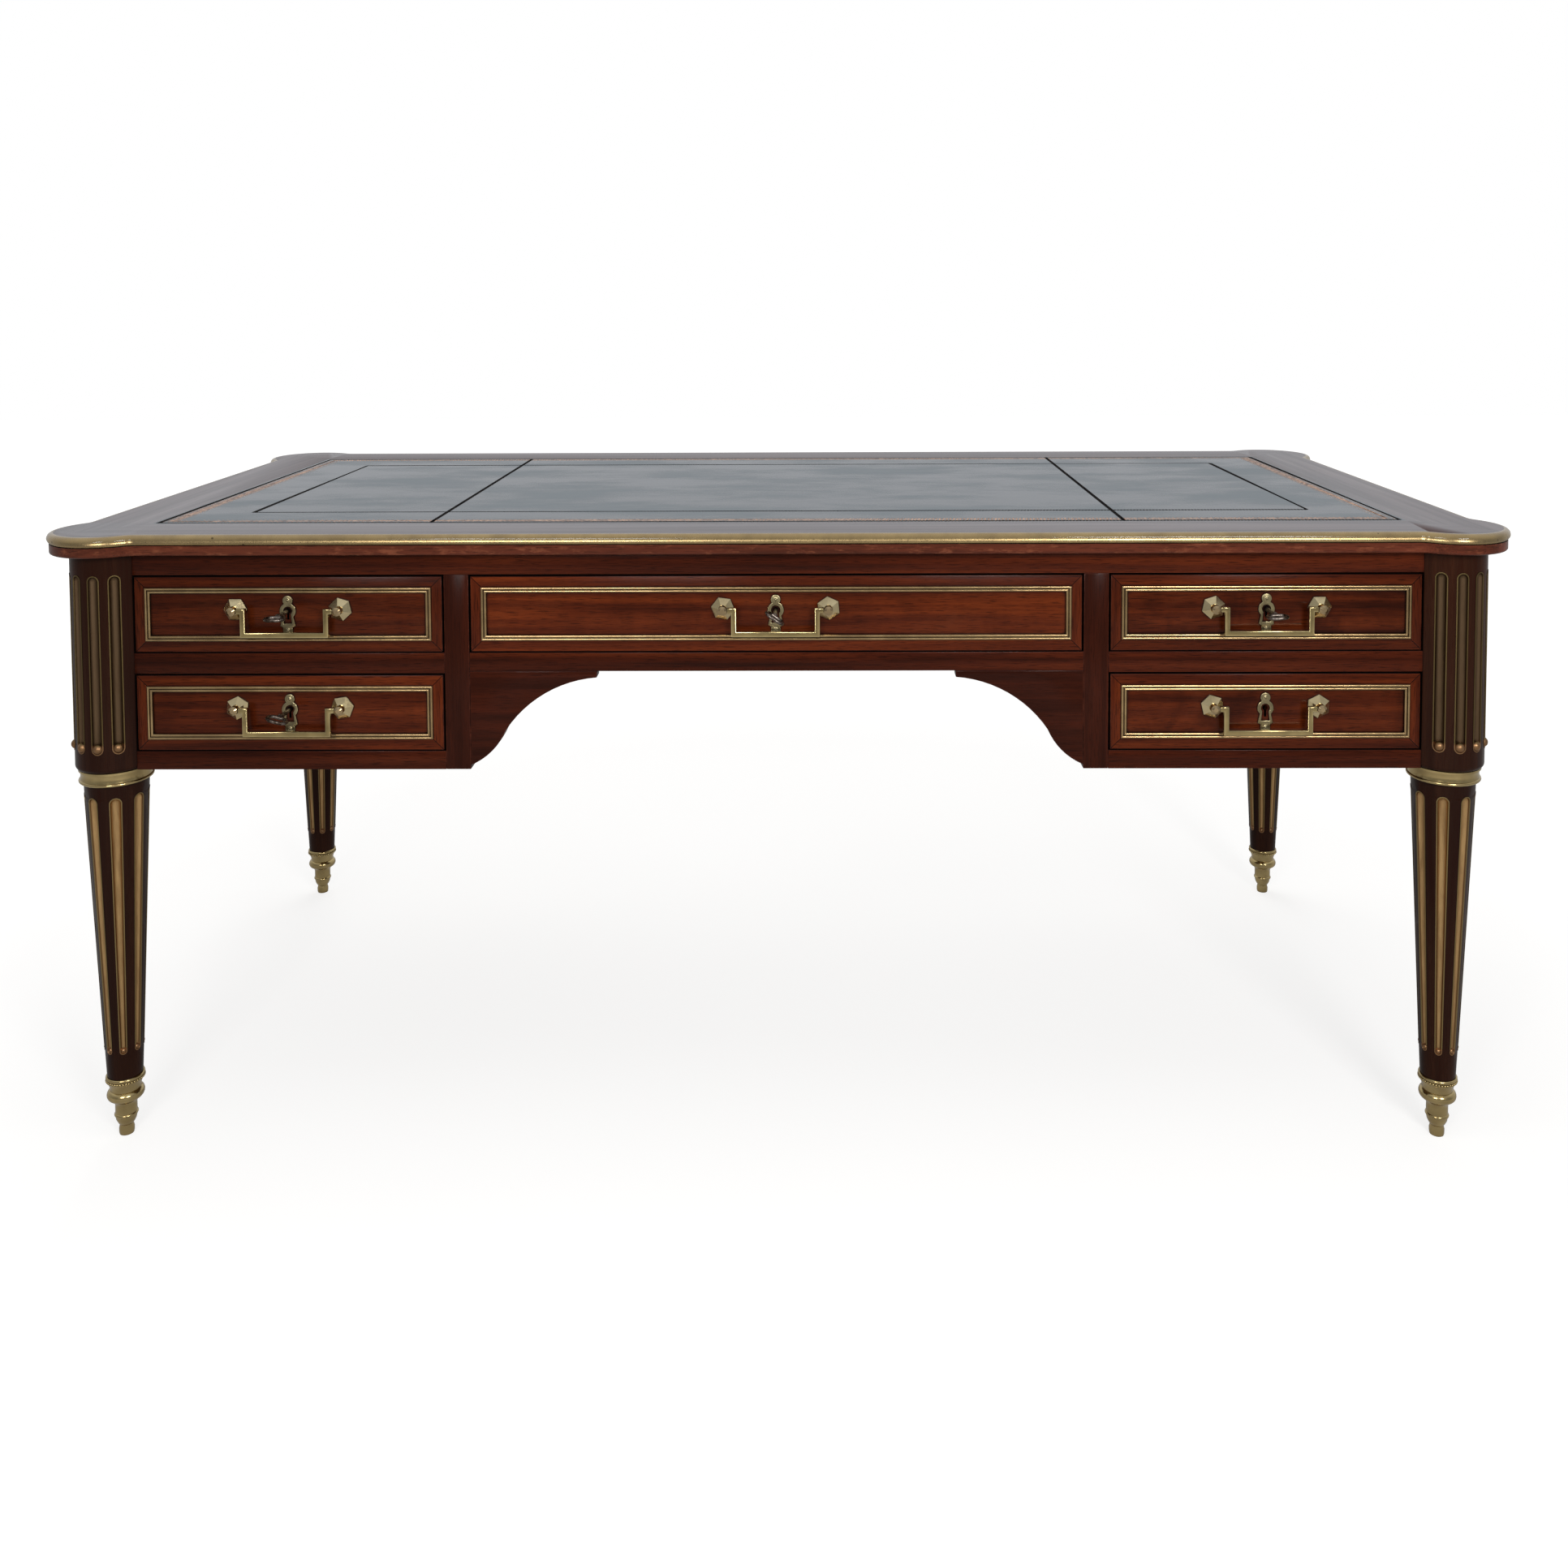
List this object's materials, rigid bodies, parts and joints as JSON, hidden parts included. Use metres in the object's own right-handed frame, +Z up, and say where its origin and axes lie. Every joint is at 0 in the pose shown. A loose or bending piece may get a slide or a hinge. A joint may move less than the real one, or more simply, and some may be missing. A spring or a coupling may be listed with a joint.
{
  "type": "bureau plat writing desk",
  "caption": "Flat-topped writing desk with a leather-lined top, brass edge, fluted legs, a kneehole, and lockable drawers with brass bail handles.",
  "frame": {"origin": "on the floor under the middle of the desk", "axes": "+X to the sitter's right, +Y to the back, +Z up"},
  "size_m": [1.7816, 0.8698, 0.765],
  "materials": {
    "mahogany": "french-polished mahogany veneer",
    "oak": "bare planed oak",
    "brass": "polished brass with dull age in the hollows",
    "leather": "waxed dark leather with tooled borders",
    "steel": "darkened steel"
  },
  "bodies": {
    "carcass": {"top_board": "mahogany", "writing_leather": "leather", "edge_lengths": "brass", "edge_ears": "brass", "leg_back_right": "mahogany", "leg_front_right": "mahogany", "leg_back_left": "mahogany", "leg_front_left": "mahogany", "leg_collars": "brass", "leg_sabots": "brass", "post_flute_linings": "brass", "leg_flute_linings": "brass", "front_rails": "mahogany", "stiles": "mahogany", "end_panels": "mahogany", "back_panels": "mahogany", "panel_mouldings": "brass", "pedestal_sides": "mahogany", "pedestal_bottoms": "oak", "drawer_runners": "oak", "knee_brackets": "mahogany"},
    "upper_left_drawer": {"upper_left_drawer_front": "mahogany", "upper_left_drawer_box": "oak", "upper_left_front_moulding": "brass", "upper_left_rosettes": "brass", "upper_left_lock": "brass"},
    "upper_left_handle": {"upper_left_bail": "brass"},
    "upper_left_bolt": {"upper_left_lock_bolt": "steel"},
    "upper_left_key": {"upper_left_key": "steel"},
    "lower_left_drawer": {"lower_left_drawer_front": "mahogany", "lower_left_drawer_box": "oak", "lower_left_front_moulding": "brass", "lower_left_rosettes": "brass", "lower_left_lock": "brass"},
    "lower_left_handle": {"lower_left_bail": "brass"},
    "lower_left_bolt": {"lower_left_lock_bolt": "steel"},
    "lower_left_key": {"lower_left_key": "steel"},
    "centre_drawer": {"centre_drawer_front": "mahogany", "centre_drawer_box": "oak", "centre_front_moulding": "brass", "centre_rosettes": "brass", "centre_lock": "brass"},
    "centre_handle": {"centre_bail": "brass"},
    "centre_bolt": {"centre_lock_bolt": "steel"},
    "centre_key": {"centre_key": "steel"},
    "upper_right_drawer": {"upper_right_drawer_front": "mahogany", "upper_right_drawer_box": "oak", "upper_right_front_moulding": "brass", "upper_right_rosettes": "brass", "upper_right_lock": "brass"},
    "upper_right_handle": {"upper_right_bail": "brass"},
    "upper_right_bolt": {"upper_right_lock_bolt": "steel"},
    "upper_right_key": {"upper_right_key": "steel"},
    "lower_right_drawer": {"lower_right_drawer_front": "mahogany", "lower_right_drawer_box": "oak", "lower_right_front_moulding": "brass", "lower_right_rosettes": "brass", "lower_right_lock": "brass"},
    "lower_right_handle": {"lower_right_bail": "brass"},
    "lower_right_bolt": {"lower_right_lock_bolt": "steel"}
  },
  "joints": [
    {"name": "upper_left_drawer_slide", "type": "slide", "parent": "carcass", "child": "upper_left_drawer", "axis": [0, -1, 0], "range_m": [0, 0.4]},
    {"name": "upper_left_handle_swing", "type": "hinge", "parent": "upper_left_drawer", "child": "upper_left_handle", "pos_m": [-0.59328, -0.3984, 0.67], "axis": [-1, 0, 0], "range_deg": [0, 45]},
    {"name": "upper_left_key_turn", "type": "hinge", "parent": "upper_left_drawer", "child": "upper_left_key", "pos_m": [-0.59328, -0.386, 0.668], "axis": [0, -1, 0], "range_deg": [0, 91]},
    {"name": "upper_left_bolt_throw", "type": "slide", "parent": "upper_left_drawer", "child": "upper_left_bolt", "axis": [0, 0, 1], "range_m": [0, 0.007]},
    {"name": "lower_left_drawer_slide", "type": "slide", "parent": "carcass", "child": "lower_left_drawer", "axis": [0, -1, 0], "range_m": [0, 0.4]},
    {"name": "lower_left_handle_swing", "type": "hinge", "parent": "lower_left_drawer", "child": "lower_left_handle", "pos_m": [-0.59328, -0.3984, 0.5487], "axis": [-1, 0, 0], "range_deg": [0, 45]},
    {"name": "lower_left_key_turn", "type": "hinge", "parent": "lower_left_drawer", "child": "lower_left_key", "pos_m": [-0.59328, -0.386, 0.5467], "axis": [0, -1, 0], "range_deg": [0, 107]},
    {"name": "lower_left_bolt_throw", "type": "slide", "parent": "lower_left_drawer", "child": "lower_left_bolt", "axis": [0, 0, 1], "range_m": [0, 0.007]},
    {"name": "centre_drawer_slide", "type": "slide", "parent": "carcass", "child": "centre_drawer", "axis": [0, -1, 0], "range_m": [0, 0.4]},
    {"name": "centre_handle_swing", "type": "hinge", "parent": "centre_drawer", "child": "centre_handle", "pos_m": [0, -0.3984, 0.67], "axis": [-1, 0, 0], "range_deg": [0, 45]},
    {"name": "centre_key_turn", "type": "hinge", "parent": "centre_drawer", "child": "centre_key", "pos_m": [0, -0.386, 0.668], "axis": [0, -1, 0], "range_deg": [0, 126]},
    {"name": "centre_bolt_throw", "type": "slide", "parent": "centre_drawer", "child": "centre_bolt", "axis": [0, 0, 1], "range_m": [0, 0.007]},
    {"name": "upper_right_drawer_slide", "type": "slide", "parent": "carcass", "child": "upper_right_drawer", "axis": [0, -1, 0], "range_m": [0, 0.4]},
    {"name": "upper_right_handle_swing", "type": "hinge", "parent": "upper_right_drawer", "child": "upper_right_handle", "pos_m": [0.59328, -0.3984, 0.67], "axis": [-1, 0, 0], "range_deg": [0, 45]},
    {"name": "upper_right_key_turn", "type": "hinge", "parent": "upper_right_drawer", "child": "upper_right_key", "pos_m": [0.59328, -0.386, 0.668], "axis": [0, -1, 0], "range_deg": [0, 88]},
    {"name": "upper_right_bolt_throw", "type": "slide", "parent": "upper_right_drawer", "child": "upper_right_bolt", "axis": [0, 0, 1], "range_m": [0, 0.007]},
    {"name": "lower_right_drawer_slide", "type": "slide", "parent": "carcass", "child": "lower_right_drawer", "axis": [0, -1, 0], "range_m": [0, 0.4]},
    {"name": "lower_right_handle_swing", "type": "hinge", "parent": "lower_right_drawer", "child": "lower_right_handle", "pos_m": [0.59328, -0.3984, 0.5487], "axis": [-1, 0, 0], "range_deg": [0, 90]},
    {"name": "lower_right_bolt_throw", "type": "slide", "parent": "lower_right_drawer", "child": "lower_right_bolt", "axis": [0, 0, 1], "range_m": [0, 0.007]}
  ],
  "couplings": [
    {"joint": "upper_left_key_turn", "follows": "upper_left_bolt_throw", "rad_per_m": 224.4},
    {"joint": "lower_left_key_turn", "follows": "lower_left_bolt_throw", "rad_per_m": 264.29},
    {"joint": "centre_key_turn", "follows": "centre_bolt_throw", "rad_per_m": 311.67},
    {"joint": "upper_right_key_turn", "follows": "upper_right_bolt_throw", "rad_per_m": 216.92}
  ]
}
